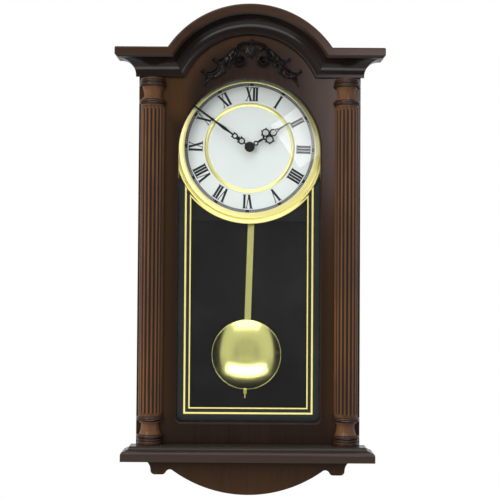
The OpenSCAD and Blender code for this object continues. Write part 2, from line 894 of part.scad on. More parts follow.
module pendulum_magnet() {
    color([0.3, 0.3, 0.32]) swung() bar_y(0, 16, 4, swing_y - 1.4, swing_y + 1.4);
}

rod_top = -13;
rod_y = swing_y - 2.4;

module pendulum_rod() {
    color("khaki") swung() {
        difference() {
            box(-rod_w / 2, rod_w / 2, rod_y - rod_t / 2, rod_y + rod_t / 2,
                -bob_drop - bob_r + 6, rod_top);
            box(-2.3, 2.3, rod_y - 2, rod_y + 2, -22.1, -17.9);
        }
        translate([0, rod_y, -bob_drop - bob_r - 10])
            cylinder(r = stud_r, h = 17);
    }
}

module bob_slots() {
    box(-rod_w / 2 - 0.3, rod_w / 2 + 0.3, rod_y - rod_t / 2 - 0.3, rod_y + rod_t / 2 + 0.3,
        -bob_drop, -bob_drop + bob_r + 2);
    translate([0, rod_y, -bob_drop - bob_r - 2]) cylinder(r = stud_r + 0.2, h = 12);
}

// polished dome with a rolled rim
module bob_shell() {
    dome_h = 12;
    dome_r = (bob_r * bob_r + dome_h * dome_h) / (2 * dome_h);
    rim = -rod_y + 1.2;               // distance of the rim's plane from the wall
    color("khaki") swung() difference() {
        translate([0, 0, -bob_drop]) turned_about_y() union() {
            intersection() {
                difference() {
                    translate([0, rim + dome_h - dome_r]) circle(dome_r, $fn = 180);
                    translate([0, rim + dome_h - dome_r]) circle(dome_r - shell_t, $fn = 180);
                }
                translate([0, rim]) square([bob_r, dome_h + 1]);
            }
            translate([bob_r - shell_t, rim - 3.4]) square([shell_t, 3.6]);
            translate([bob_r - 0.5, rim]) circle(0.6);
        }
        bob_slots();
    }
}

module bob_back_plate() {
    rim = -rod_y + 1.2;
    color("goldenrod") swung() translate([0, 0, -bob_drop]) turned_about_y()
        translate([0, rim - 3.4]) square([bob_r - shell_t - play, 0.6]);
}

module rating_nut() {
    color("darkkhaki") swung() translate([0, rod_y, -bob_drop - bob_r - 4.9]) difference() {
        union() {
            cylinder(r = 2.4, h = 4.7);
            translate([0, 0, 0.8]) cylinder(r = 3.4, h = 3);
        }
        translate([0, 0, -1]) cylinder(r = stud_r + play, h = 7);
    }
}

// ---------------------------------------------------------------- rear controls

module battery_cover() {
    color([0.16, 0.16, 0.17]) difference() {
        box(-29.5, 29.5, house_back + play, cover_back, bay_z0 - 1, bay_z1 + 1);
        // thumb grooves
        for (x = [14:3:26]) box(x, x + 1.4, cover_back - 0.5, cover_back + 1, 38, 52);
    }
}

// slider with a flange inside the housing
module chime_switch() {
    color("silver") {
        box(switch_x - 2, switch_x + 2, house_back - wall - 1, house_back + 2.4,
            switch_z - 1.9, switch_z + 1.9);
        box(switch_x - 3, switch_x + 3, house_back - wall - 1.5, house_back - wall - play,
            switch_z - 3, switch_z + 3);
    }
}

// ---------------------------------------------------------------- hinges and catch

// the knuckles are split into fifths: the case leaf has the even fifths
hinge_half = 15;

module knuckle_band(z, i) {
    step = 2 * hinge_half / 5;
    translate([hinge_x, hinge_y, z - hinge_half + step * i + 0.1])
        cylinder(r = knuckle_r, h = step - 0.2);
}

module hinge_bore(z) {
    translate([hinge_x, hinge_y, z - hinge_half - 1])
        cylinder(r = pin_r + play, h = 2 * hinge_half + 2);
}

module case_hinge_leaves() {
    step = 2 * hinge_half / 5;
    color("goldenrod") for (z = hinge_zs) difference() {
        union() {
            for (i = [0, 2, 4]) {
                knuckle_band(z, i);
                box(case_hw - leaf_t, case_hw, hinge_y, hinge_y + 18, z - hinge_half + step * i + 0.1,
                    z - hinge_half + step * (i + 1) - 0.1);
            }
            box(case_hw - leaf_t, case_hw, hinge_y + 3, hinge_y + 18, z - hinge_half, z + hinge_half);
        }
        hinge_bore(z);
    }
}

module hinge_pins() {
    color("goldenrod") for (z = hinge_zs)
        translate([hinge_x, hinge_y, z - hinge_half]) {
            cylinder(r = pin_r, h = 2 * hinge_half);
            translate([0, 0, 2 * hinge_half]) cylinder(r = 2.1, h = 1.2);
            translate([0, 0, -1.2]) cylinder(r = 2.1, h = 1.2 + eps);
        }
}

module door_hinge_leaves() {
    step = 2 * hinge_half / 5;
    color("goldenrod") for (z = hinge_zs) difference() {
        union() {
            for (i = [1, 3]) {
                knuckle_band(z, i);
                box(hinge_x - 0.5, hinge_x + 0.5, door_back, hinge_y,
                    z - hinge_half + step * i + 0.1, z - hinge_half + step * (i + 1) - 0.1);
            }
            box(hinge_x - 14, hinge_x + 2, door_back, door_back + leaf_t - 0.2,
                z - hinge_half, z + hinge_half);
        }
        hinge_bore(z);
    }
}

module catch_magnet() {
    color([0.35, 0.3, 0.28])
        box(-inner_hw, -inner_hw + 10, case_front + 0.4, case_front + 18, -150, -120);
}

module catch_strike_plate() {
    color("silver") box(-inner_hw - 2, -inner_hw + 12, door_back, door_back + 0.8, -147, -123);
}

// ---------------------------------------------------------------- door

function arc(x, z, r, a0, a1, n) =
    [for (i = [0:n]) let (a = a0 + (a1 - a0) * i / n) [x + r * cos(a), z + r * sin(a)]];

function reversed(p) = [for (i = [len(p) - 1:-1:0]) [-p[i][0], p[i][1]]];

// a hollow shoulder, a foot with round corners, a small hollow and the wide
// arc run into one another, so each centre lies both radii from the next
module apron_outline() {
    arc_z = apron_bottom + apron_r;
    foot_c = foot_z + foot_r;
    notch_dir = acos((arc_z - notch_z) / (apron_r + notch_r));
    notch_x = (apron_r + notch_r) * sin(notch_dir);
    foot_dir = asin((foot_c - notch_z) / (foot_r + notch_r));
    foot_in = notch_x + (foot_r + notch_r) * cos(foot_dir);
    shoulder_x = foot_out + foot_r + shoulder_r;
    left = concat(
        [[-apron_hw, base_top - 4]],
        arc(-shoulder_x, foot_c, shoulder_r, acos((shoulder_x - apron_hw) / shoulder_r), 4, 8),
        arc(-foot_out, foot_c, foot_r, 180, 270, 8),
        arc(-foot_in, foot_c, foot_r, 270, 358 - foot_dir, 8),
        arc(-notch_x, notch_z, notch_r, 180 - foot_dir, 90 - notch_dir, 10),
        arc(0, arc_z, apron_r, 271 - notch_dir, 269, 24));
    polygon(concat(left, reversed(left)));
}

module panel_outline() {
    intersection() {
        translate([0, crown_arch_z]) circle(crown_r - panel_setback);
        translate([-far / 2, crown_arch_z]) square([far, far]);
    }
    translate([-door_hw, base_bottom + 2])
        square([door_w, crown_top - panel_setback - base_bottom - 2]);
    apron_outline();
}

module opening_2d(grow = 0) {
    r = opening_r + grow;
    bottom = -opening_drop - grow;
    cr = corner_r + grow;
    translate([0, opening_z]) circle(r);
    translate([-r, bottom + cr]) square([2 * r, opening_z - bottom - cr]);
    translate([-r + cr, bottom]) square([2 * (r - cr), cr + 1]);
    for (s = [-1, 1]) translate([s * (r - cr), bottom + cr]) circle(cr);
}

// 45 degree bevel round the front edge of the opening
module opening_bevel() {
    r = opening_r;
    y0 = door_front;
    y1 = door_front + chamfer;
    bottom = -opening_drop;
    cz = bottom + corner_r;
    translate([0, y0, opening_z]) rotate([-90, 0, 0])
        cylinder(r1 = r + chamfer, r2 = r, h = chamfer);
    translate([0, 0, cz]) linear_extrude(opening_z - cz)
        polygon([[-r - chamfer, y0], [r + chamfer, y0], [r, y1], [-r, y1]]);
    for (s = [-1, 1])
        translate([s * (r - corner_r), y0, cz]) rotate([-90, 0, 0])
            cylinder(r1 = corner_r + chamfer, r2 = corner_r, h = chamfer);
    along_x(-r + corner_r, r - corner_r)
        polygon([[y0, bottom - chamfer], [y0, cz + 1], [y1, cz + 1], [y1, bottom]]);
}

module door_panel() {
    color("saddlebrown") difference() {
        along_y(door_front, door_back) panel_outline();
        along_y(door_front - 1, door_back + 1) opening_2d();
        along_y(door_back - rabbet, door_back + 1) opening_2d(rabbet);
        opening_bevel();
    }
}

moulding_reach = 120;  // more than the moulding's height anywhere

// moulding section: x is height above the lower edge, y is the projection
module crown_section(reach) {
    cove_r = 16.5;
    lip = 1.5;
    difference() {
        square([reach, crown_out]);
        translate([lip, lip + cove_r + 2]) circle(cove_r);
        translate([-1, 3.5]) square([lip + 1, crown_out]);
        translate([-1, lip + cove_r + 2]) square([lip + cove_r + 1, crown_out]);
        polygon([[lip + cove_r - 0.1, crown_out - 3], [lip + cove_r - 0.1, crown_out + 1],
                 [lip + cove_r + 3.8, crown_out + 1], [lip + cove_r + 2.8, crown_out]]);
    }
}

// block whose far front corner is rounded, as the moulding's top edge is
module crown_cap(length) {
    r = 2;
    square([length - r, crown_out]);
    square([length, crown_out - r]);
    translate([length - r, crown_out - r]) circle(r);
}

module crown_straight() {
    along_x(-far / 2, far / 2)
        translate([door_front, crown_bottom]) rotate(90) crown_section(moulding_reach);
}

module crown_moulding() {
    reach = moulding_reach;
    color([0.2, 0.13, 0.1]) intersection() {
        // the arched and the straight mouldings, mitred where they cross
        turned_about_y_at(crown_arch_z)
            translate([crown_r_in, -door_front]) crown_section(reach);
        crown_straight();
        // top edges of both
        union() {
            turned_about_y_at(crown_arch_z) translate([0, -door_front]) crown_cap(crown_r);
            along_x(-far / 2, far / 2)
                translate([door_front, crown_top - reach]) rotate(90) crown_cap(reach);
        }
        // returns at both ends
        along_y(door_front - crown_out - 1, door_front) union() {
            translate([-door_hw, -far / 2]) square([door_w, far]);
            for (s = [0, 1]) mirror([s, 0])
                intersection() {
                    translate([door_hw, crown_bottom]) mirror([1, 0]) rotate(90) crown_section(reach);
                    translate([door_hw, crown_top - reach]) mirror([1, 0]) rotate(90) crown_cap(reach);
                }
        }
    }
}

module turned_about_y_at(z) {
    translate([0, 0, z]) turned_about_y() children();
}

// base section: x is the distance in from the outer face, y the height
module base_section(reach) {
    square([reach, 7]);
    translate([4, 7]) circle(4);
    translate([4, 0]) square([reach - 4, 11]);
    translate([5, 0]) square([reach - 5, 12]);
    difference() {
        translate([6, 11]) square([4, 3.6]);
        translate([6, 14.6]) circle(2.6);
    }
    translate([9, 0]) square([reach - 9, base_h]);
}

module base_moulding() {
    color([0.2, 0.13, 0.1]) intersection() {
        along_x(-base_hw, base_hw)
            translate([door_front - base_out, base_bottom]) base_section(base_out);
        along_y(door_front - base_out - 1, door_front)
            for (s = [0, 1]) mirror([s, 0])
                translate([-base_hw, base_bottom]) base_section(base_hw + 1);
    }
}

// ---------------------------------------------------------------- columns

shaft_bottom = -305.3;
shaft_top = 44;

module torus_2d(z, h, r) {
    translate([r - h / 2, z + h / 2]) circle(h / 2);
    translate([0, z]) square([r - h / 2, h]);
}

module cap_profile(z, dir) {
    // dir is 1 for the capital and -1 for the base, which mirrors it
    translate([0, z]) scale_z(dir) {
        torus_2d(0, 6.2, ring_r);
        translate([0, 6]) square([12.4, 1.4]);
        translate([0, 7.2]) square([11, 1.6]);
        polygon([[0, 8.6], [10.2, 8.6], [10.5, 13], [11.2, 17], [12.4, 20.4], [0, 20.4]]);
        // three rings, smaller towards the end
        torus_2d(20.4, 4.6, ring_r);
        torus_2d(24.7, 3.4, ring_r - 0.8);
        torus_2d(27.8, 2.6, ring_r - 1.5);
    }
}

module scale_z(dir) {
    if (dir > 0) children();
    else mirror([0, 1]) children();
}

module column_profile() {
    translate([0, shaft_bottom]) square([shaft_r, shaft_top - shaft_bottom]);
    cap_profile(shaft_top, 1);
    intersection() {
        cap_profile(shaft_bottom, -1);
        translate([0, base_top]) square([30, 60]);
    }
    translate([0, base_top]) square([14.6, 2.5]);
}

module column() {
    flute_r = 1.75;
    pitch = 180 / flutes;
    color("saddlebrown") difference() {
        translate([-column_x, door_front, 0]) rotate_extrude() column_profile();
        // flutes run the whole length of the shaft
        for (i = [-(flutes - 1) / 2:(flutes - 1) / 2])
            translate([-column_x, door_front, shaft_bottom + 2])
                rotate(pitch * i) translate([0, -shaft_r - 0.75, 0])
                    cylinder(r = flute_r, h = shaft_top - shaft_bottom - 4);
        // flat back against the door
        translate([-column_x - 30, door_front, base_top - 5]) cube([60, 40, far * 1.2]);
    }
}

// carved crest over the dial, drawn on its left half about its centre line
crest_x = 1.5;
volute = [-12.9, 95.8];
bend_steps = 14;

function bend(a, b, c, t) = (1 - t) * (1 - t) * a + 2 * t * (1 - t) * b + t * t * c;
function bend_side(a, b, c, t) =
    let (d = (1 - t) * (b - a) + t * (c - b)) [-d[1], d[0]] / norm(d);

// curved leaf from a to c, pulled towards b, w wide each side of its stem
module leaf(a, b, c, w) {
    n = bend_steps;
    function edge(t, s) = bend(a, b, c, t) + s * w * sin(180 * pow(t, 0.6)) * bend_side(a, b, c, t);
    polygon(concat([for (i = [0:n]) edge(i / n, 1)], [for (i = [n - 1:-1:1]) edge(i / n, -1)]));
}

// ribbon from a to c, pulled towards b, w0 to w1 wide each side
module ribbon(a, b, c, w0, w1) {
    n = bend_steps;
    function edge(t, s) = bend(a, b, c, t) + s * (w0 + (w1 - w0) * t) * bend_side(a, b, c, t);
    polygon(concat([for (i = [0:n]) edge(i / n, 1)], [for (i = [n:-1:0]) edge(i / n, -1)]));
}

// ribbon that winds inwards round a volute
module scroll(centre, r0, r1, a0, a1, w0, w1) {
    n = 40;
    function edge(t, s) =
        let (r = r0 + (r1 - r0) * t + s * (w0 + (w1 - w0) * t) / 2, a = a0 + (a1 - a0) * t)
        centre + r * [cos(a), sin(a)];
    polygon(concat([for (i = [0:n]) edge(i / n, 1)], [for (i = [n:-1:0]) edge(i / n, -1)]));
}

// leaves as [stem start, pull, tip, half width]
crest_leaves = [
    [[-19.5, 109.5], [-33, 87], [-43, 97], 4.2],
    [[-20, 107], [-28.5, 96], [-25, 87], 2.8],
    [[-25, 102.5], [-30, 94], [-32.5, 86], 3.4],
    [[-30.5, 94], [-44, 72], [-56, 84], 4.8],
    [[-32, 90], [-34, 80], [-42.5, 75], 3],
    [[-42, 80], [-51.5, 77], [-53.5, 65.5], 3],
    [[-31.5, 94], [-33, 86], [-29.5, 81.5], 2.6],
];
// shell between the scrolls, as the tips of its ribs
shell_top = [0, 114.5];
shell_tips = [[0.8, 97.3], [-3, 97.6], [-5.6, 99], [-7.9, 102.2], [-9, 106.5]];

module crest_scroll(w) {
    ribbon([-1, 115.8], [-19.8, 117], [-19.5, 98], w * 0.75, w);
    scroll(volute, 6.6, 2.2, 165, 560, w * 2, w);
}

module carved_ornament() {
    color([0.12, 0.08, 0.07]) translate([crest_x, 0, 0]) {
        // the shell lies lowest, then the leaves, the scrolls, and the bosses on them
        along_y(door_front - 1.8, door_front) mirrored_x()
            for (tip = shell_tips) leaf(shell_top, (shell_top + tip) / 2, tip, 1.9);
        along_y(door_front - 3, door_front) mirrored_x() {
            for (l = crest_leaves) leaf(l[0], l[1], l[2], l[3]);
            crest_scroll(2.4);
        }
        along_y(door_front - 5, door_front - 2) mirrored_x() {
            for (l = crest_leaves) leaf(l[0], l[1], l[2], l[3] * 0.4);
            crest_scroll(1.5);
        }
        along_y(door_front - 6, door_front - 1) mirrored_x() {
            translate(volute) circle(2.4);
            translate([-10.4, 108.4]) circle(2.4);
            translate([-1, 117.2]) circle(2.3);
        }
    }
}

// ---------------------------------------------------------------- glazing

module door_glass() {
    color([0.8, 0.9, 0.9, 0.3]) along_y(glass_back - glass_t, glass_back)
        opening_2d(glass_hw - opening_r);
}

print_depth = 0.1;
border_in = 67.7;     // half width of the clear window
border_bottom = -299.4;
arc_r = 87.4;         // its top edge, an arc about the arbor
gold_wide = 2;
gold_fine = 1.4;
gold_out_x = 73.4;
gold_out_bottom = -305.4;

// clear window: straight sides and bottom, and an arched top under the dial
module window_2d(half, bottom, r) {
    difference() {
        translate([-half, bottom]) square([2 * half, -bottom]);
        circle(r);
    }
}

module glass_gold_lines() {
    front = glass_back;
    color("gold") along_y(front, front + print_depth) {
        difference() {
            window_2d(gold_out_x, gold_out_bottom, arc_r - 1);
            window_2d(gold_out_x - gold_wide, gold_out_bottom + gold_wide, 10);
        }
        difference() {
            window_2d(border_in, border_bottom, arc_r);
            window_2d(border_in - gold_fine, border_bottom + gold_fine, arc_r + gold_fine);
        }
    }
}

// black paint over the gold, outside the window
module glass_black_border() {
    front = glass_back + print_depth;
    color("black") along_y(front, front + print_depth) difference() {
        intersection() {
            opening_2d(3);
            translate([-far / 2, -far]) square([far, far]);
        }
        circle(bezel_r_out + 0.6);
        window_2d(border_in - 0.3, border_bottom + 0.3, arc_r);
    }
}

// where each clip's screw end lies, and which way the clip faces
clip_places = [[-92, -20, 0], [92, -20, 180], [-92, -168, 0], [92, -240, 180],
               [-92, -290, 0], [92, -100, 180]];

module glass_clips() {
    color([0.75, 0.7, 0.55]) for (c = clip_places)
        translate([c[0], door_back, c[1]]) rotate([0, c[2], 0]) {
            box(-5, 9.4, 0, 0.6, -4, 4);
            box(8.8, 9.4, -3.75, 0.6, -4, 4);
        }
}

// ---------------------------------------------------------------- nodes

placed() left_side_panel();
placed() right_side_panel();
placed() top_panel();
placed() bottom_panel();
placed() back_panel();
placed() back_panel_screws();
placed() hanger_plate();
placed() hanger_screws();
placed() dial_board();
placed() dial_board_screws();
placed() dial_plate();
placed() minute_track();
placed() numerals();
placed() dial_inner_ring();
placed() bezel();
placed() movement_front_housing();
placed() movement_rear_cover();
placed() mounting_nut();
placed() circuit_board();
placed() stepper_coil();
placed() stepper_stator();
placed() stepper_rotor();
placed() battery_cells();
placed() battery_contacts();
placed() pendulum_coil();
placed() pendulum_pivot_pin();
placed() speaker_frame();
placed() speaker_cone();
placed() speaker_wires();
placed() case_hinge_leaves();
placed() hinge_pins();
placed() catch_magnet();
placed() door_panel();
placed() crown_moulding();
placed() base_moulding();
placed() column();  // left_column
placed() mirror([1, 0, 0]) column();  // right_column
placed() carved_ornament();
placed() door_glass();
placed() glass_black_border();
placed() glass_gold_lines();
placed() glass_clips();
placed() door_hinge_leaves();
placed() catch_strike_plate();
placed() pendulum_lever();
placed() pendulum_magnet();
placed() pendulum_rod();
placed() bob_shell();
placed() bob_back_plate();
placed() rating_nut();
placed() center_wheel();
placed() minute_hand();
placed() hour_wheel();
placed() hour_hand();
placed() minute_wheel();
placed() third_wheel();
placed() fourth_wheel();
placed() hand_set_knob();
placed() battery_cover();
placed() chime_switch();
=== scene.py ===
"""Looks of the arched wall clock: materials, a sculpted crest, a turned bezel, studio light and camera."""

import json
import math

import bmesh
import bpy
from mathutils import Matrix, Quaternion, Vector

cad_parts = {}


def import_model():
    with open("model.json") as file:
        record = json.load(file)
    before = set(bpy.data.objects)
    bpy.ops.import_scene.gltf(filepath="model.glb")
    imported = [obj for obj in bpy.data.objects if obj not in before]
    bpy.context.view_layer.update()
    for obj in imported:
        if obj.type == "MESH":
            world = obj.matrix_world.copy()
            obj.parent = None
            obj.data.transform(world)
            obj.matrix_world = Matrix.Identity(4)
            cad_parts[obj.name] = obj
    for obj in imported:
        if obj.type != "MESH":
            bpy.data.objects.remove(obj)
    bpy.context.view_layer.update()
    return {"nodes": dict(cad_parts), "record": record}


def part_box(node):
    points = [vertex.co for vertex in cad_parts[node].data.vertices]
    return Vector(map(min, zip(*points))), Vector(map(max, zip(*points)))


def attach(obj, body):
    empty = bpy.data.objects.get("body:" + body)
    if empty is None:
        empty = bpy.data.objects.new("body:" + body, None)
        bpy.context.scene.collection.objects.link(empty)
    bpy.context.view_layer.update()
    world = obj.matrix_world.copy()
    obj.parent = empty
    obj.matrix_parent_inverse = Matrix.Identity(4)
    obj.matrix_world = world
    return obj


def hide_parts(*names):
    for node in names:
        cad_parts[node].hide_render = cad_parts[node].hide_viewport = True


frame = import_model()
nodes = frame["nodes"]

MM = 0.001


def middle(node):
    """The centre of a node's box."""
    low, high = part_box(node)
    return (low + high) / 2


# Places the looks depend on, from the frame where it has them
DIAL = middle("bezel")                      # centre of the dial
DOOR_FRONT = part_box("door_panel")[0].y
CROWN_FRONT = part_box("crown_moulding")[0].y
CROWN_R = 110.6 * MM                        # outside of the crown's arch
CROWN_BAND = 29.4 * MM                      # height of its moulding
ARCH_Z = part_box("crown_moulding")[1].z - CROWN_R
ARCH_INNER_R = CROWN_R - CROWN_BAND
COLUMN_X = middle("right_column").x
COLUMN_RING_R = (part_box("left_column")[1].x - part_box("left_column")[0].x) / 2
SHAFT_END = 36 * MM                         # height of a column's turned ends
FLUTE_PITCH = math.radians(20)
OPENING_HW = 80.5 * MM                      # half width of the door's opening
BASE_BOTTOM, BASE_TOP = (corner.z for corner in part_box("base_moulding"))
BOB = middle("bob_shell")


# ---------------------------------------------------------------- materials

class ShaderTree:
    """The node tree of a material or a world, emptied, with short calls that fill it."""

    def __init__(self, owner):
        owner.use_nodes = True
        self.tree = owner.node_tree
        self.tree.nodes.clear()

    def add(self, kind, inputs=(), **settings):
        node = self.tree.nodes.new(kind)
        for key, value in settings.items():
            setattr(node, key, value)
        pairs = inputs.items() if isinstance(inputs, dict) else enumerate(inputs)
        for key, value in pairs:
            self.put(node.inputs[key], value)
        return node

    def put(self, socket, value):
        if isinstance(value, bpy.types.NodeSocket):
            self.tree.links.new(value, socket)
        elif socket.type == "RGBA" and len(value) == 3:
            socket.default_value = (*value, 1)
        else:
            socket.default_value = value

    def mix(self, amount, a, b):
        """Colour a where amount is 0, and b where it is 1."""
        node = self.add("ShaderNodeMix", data_type="RGBA")
        self.put(node.inputs["Factor"], amount)
        self.put(node.inputs[6], a)
        self.put(node.inputs[7], b)
        return node.outputs[2]

    def ramp(self, value, stops):
        """The colour at value, between stops of (place, colour)."""
        node = self.add("ShaderNodeValToRGB", [value])
        elements = node.color_ramp.elements
        while len(elements) < len(stops):
            elements.new(0.5)
        for element, (place, colour) in zip(elements, stops):
            element.position = place
            element.color = (*colour, 1)
        return node.outputs["Color"]


class Look(ShaderTree):
    """One material, with a short call for each kind of node that the looks use."""

    def __init__(self, name):
        self.mat = bpy.data.materials.new(name)
        super().__init__(self.mat)
        self.out = self.add("ShaderNodeOutputMaterial")
        self.place = self.add("ShaderNodeTexCoord").outputs["Object"]
        self.x, self.y, self.z = self.add("ShaderNodeSeparateXYZ", [self.place]).outputs

    def math(self, operation, a, b=0.0):
        return self.add("ShaderNodeMath", [a, b], operation=operation).outputs[0]

    def length(self, *parts):
        total = self.math("POWER", parts[0], 2.0)
        for part in parts[1:]:
            total = self.math("ADD", total, self.math("POWER", part, 2.0))
        return self.math("SQRT", total)

    def step(self, value, low, high, to_low=0.0, to_high=1.0):
        """to_low below low, to_high above high, and a smooth change between."""
        node = self.add("ShaderNodeMapRange", [value, low, high, to_low, to_high])
        node.interpolation_type = "SMOOTHSTEP"
        return node.outputs[0]

    def stretched(self, x, y, z):
        return self.add("ShaderNodeMapping", {"Vector": self.place, "Scale": (x, y, z)}).outputs[0]

    def noise(self, scale, at=None, detail=3.0, rough=0.5, warp=0.0):
        inputs = {"Vector": at or self.place, "Scale": scale, "Detail": detail,
                  "Roughness": rough, "Distortion": warp}
        return self.add("ShaderNodeTexNoise", inputs).outputs["Fac"]

    def rounded(self, radius):
        """The normal as if every edge were rounded."""
        return self.add("ShaderNodeBevel", {"Radius": radius}, samples=4).outputs["Normal"]

    def edge(self, radius):
        """1 on sharp edges, 0 on faces."""
        flat = self.add("ShaderNodeNewGeometry").outputs["Normal"]
        along = self.add("ShaderNodeVectorMath", [self.rounded(radius), flat],
                         operation="DOT_PRODUCT").outputs["Value"]
        return self.step(along, 0.97, 0.8)

    def hollow(self, reach):
        """1 in the open, falling towards 0 in corners."""
        return self.add("ShaderNodeAmbientOcclusion", {"Distance": reach}, samples=4).outputs["AO"]

    def bump(self, height, depth, normal=None):
        inputs = {"Height": height, "Distance": depth, "Strength": 1.0}
        if normal is not None:
            inputs["Normal"] = normal
        return self.add("ShaderNodeBump", inputs).outputs["Normal"]

    def surface(self, **inputs):
        """The finished material, from a Principled surface."""
        named = {key.replace("_", " "): value for key, value in inputs.items()}
        shader = self.add("ShaderNodeBsdfPrincipled", named)
        self.tree.links.new(shader.outputs[0], self.out.inputs["Surface"])
        return self.mat


def wood(name, dark, light, grain, amber_mask=None, amber=(0.13, 0.055, 0.02), rough=0.18, coat=0.25,
         tint=None, edge_amber=0.35, reach=5.0, corner_shade=0.75):
    """Stained and lacquered wood with its grain along "x" or "z".

    amber_mask(look) gives where amber shows, and tint(look, colour) changes the colour, with a stain or
    with painted shade and sheen. edge_amber is the share of amber on sharp edges, and corner_shade the
    strength of the painted shade in corners that are closed within reach (in mm).
    """
    look = Look(name)
    along = {"x": (0.045, 1, 1), "z": (1, 1, 0.045)}[grain]
    run = look.stretched(*along)
    cloud = look.noise(9, run, 2, 0.5, 0.4)
    streak = look.noise(150, run, 5, 0.6, 0.6)
    pores = look.noise(1500, look.stretched(*(1 if a == 1 else 0.02 for a in along)), 2, 0.5)
    tone = look.math("ADD", look.math("MULTIPLY", cloud, 0.55), look.math("MULTIPLY", streak, 0.45))
    colour = look.ramp(tone, [(0.3, dark), (0.72, light)])
    if amber_mask:
        mask = look.math("MULTIPLY", amber_mask(look), look.step(cloud, 0.15, 0.6, 0.65, 1.0))
        colour = look.mix(mask, colour, look.mix(look.step(streak, 0.35, 0.7), amber,
                                                 tuple(0.78 * c for c in amber)))
    pore_mask = look.step(pores, 0.62, 0.72)
    colour = look.mix(look.math("MULTIPLY", pore_mask, 0.55), colour, tuple(0.35 * c for c in dark))
    if tint:
        colour = tint(look, colour)
    # Sharp edges turn amber: rubbed wear, and on the fluted columns also a painted highlight on the flutes'
    # edges.
    worn = look.edge(1.1 * MM)
    colour = look.mix(look.math("MULTIPLY", worn, look.step(streak, 0.3, 0.8, 0.0, edge_amber)), colour, amber)
    # Painted shade: ambient occlusion darkens corners and creases within reach.
    painted_corner_shade = look.hollow(reach * MM)
    colour = look.mix(look.step(painted_corner_shade, 0.15, 0.85, corner_shade, 0.0), colour, tuple(0.2 * c for c in dark))
    raised = look.math("MULTIPLY", streak, 0.5)
    relief = look.math("SUBTRACT", raised, look.math("MULTIPLY", pore_mask, 0.5))
    smear = look.noise(60, None, 2)
    roughness = look.math("ADD", look.math("MULTIPLY", smear, 0.08), rough)
    return look.surface(Base_Color=colour, Roughness=roughness, Specular_IOR_Level=0.05,
                        Normal=look.bump(relief, 0.05 * MM, look.rounded(0.7 * MM)),
                        Coat_Weight=coat, Coat_Roughness=0.17)


def panel_amber_and_painted_light(look):
    """Amber beside the columns, in the crown's corners and under the arch's lip: partly a rubbed finish,
    partly painted light from the left. Less of it towards the bottom rail, and amber on the apron.
    """
    side = look.step(look.math("ABSOLUTE", look.x), OPENING_HW - 2 * MM, COLUMN_X - 12 * MM)
    from_arch = look.length(look.x, look.math("SUBTRACT", look.z, ARCH_Z))
    lip = look.step(from_arch, ARCH_INNER_R - 20 * MM, ARCH_INNER_R - 1 * MM)
    above = look.step(look.z, ARCH_Z - 30 * MM, ARCH_Z)
    lip = look.math("MULTIPLY", lip, above)
    # Painted light: the lip's amber is stronger on its left half, the side the light comes from.
    lip = look.math("MULTIPLY", lip, look.step(look.x, -30 * MM, 60 * MM, 1.0, 0.35))
    low = look.step(look.z, BASE_TOP, BASE_TOP + 45 * MM, 0.1, 1.0)
    rubbed = look.math("MULTIPLY", look.math("MAXIMUM", look.math("MULTIPLY", side, 0.75), lip), low)
    apron = look.step(look.z, BASE_BOTTOM, BASE_BOTTOM - 15 * MM, 0.0, 0.85)
    return look.math("MAXIMUM", rubbed, apron)


def column_end(look, inside, outside):
    """Gives inside within the turned ends of a column, and outside along its shaft."""
    low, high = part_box("left_column")
    up = look.step(look.z, high.z - SHAFT_END, high.z - SHAFT_END + 1 * MM, outside, inside)
    down = look.step(look.z, low.z + SHAFT_END, low.z + SHAFT_END - 1 * MM, outside, inside)
    return look.math("MAXIMUM" if inside > outside else "MINIMUM", up, down)


def from_column_axis(look):
    """Sideways and forward distances from the nearer column's axis."""
    side = look.math("SUBTRACT", look.math("ABSOLUTE", look.x), COLUMN_X)
    return side, look.math("SUBTRACT", DOOR_FRONT, look.y)


def column_burnish(look):
    """Amber in the hollows of the turned ends, and in patches along the shaft."""
    radius = look.length(*from_column_axis(look))
    neck = look.step(radius, COLUMN_RING_R - 1.6 * MM, COLUMN_RING_R - 3 * MM, 0.0, 0.4)
    patch = look.step(look.noise(30, look.stretched(1, 1, 0.3), 2), 0.42, 0.62, 0.1, 0.7)
    return look.math("MAXIMUM", look.math("MULTIPLY", neck, column_end(look, 1.0, 0.0)),
                     look.math("MULTIPLY", patch, column_end(look, 0.0, 1.0)))


def column_flute_shade_and_glaze(look, colour):
    """Painted shade in the bottoms of the flutes, and a dark glaze over the rings of the turned ends."""
    side, front = from_column_axis(look)
    turn = look.math("ARCTAN2", side, front)
    flute = look.math("COSINE", look.math("MULTIPLY", turn, 2.0 * math.pi / FLUTE_PITCH))
    # Painted shade in the flutes' bottoms, along the shaft only.
    groove = look.math("MULTIPLY", look.step(flute, -0.5, 0.6, 0.0, 0.93), column_end(look, 0.0, 1.0))
    ring = look.step(look.length(side, front), COLUMN_RING_R - 2.4 * MM, COLUMN_RING_R - 0.9 * MM, 0.0, 0.8)
    ring = look.math("MULTIPLY", ring, column_end(look, 1.0, 0.0))
    return look.mix(look.math("MAXIMUM", groove, ring), colour, (0.006, 0.003, 0.0022))


def cove_shade_and_base_sheen(look, colour):
    """Painted shade: nearly black in the cove behind the crown's flat front; and a painted grey sheen on
    the base.
    """
    # Painted shade in the cove, which faces down and away from the light.
    hollow = look.step(look.y, CROWN_FRONT + 0.5 * MM, CROWN_FRONT + 2.5 * MM, 0.0, 0.85)
    # Painted sheen: the base moulding's front is greyed, in place of a reflection.
    base = look.step(look.z, BASE_TOP + 10 * MM, BASE_TOP, 0.0, 0.6)
    colour = look.mix(hollow, colour, (0.006, 0.0045, 0.0042))
    return look.mix(base, colour, (0.030, 0.023, 0.021))


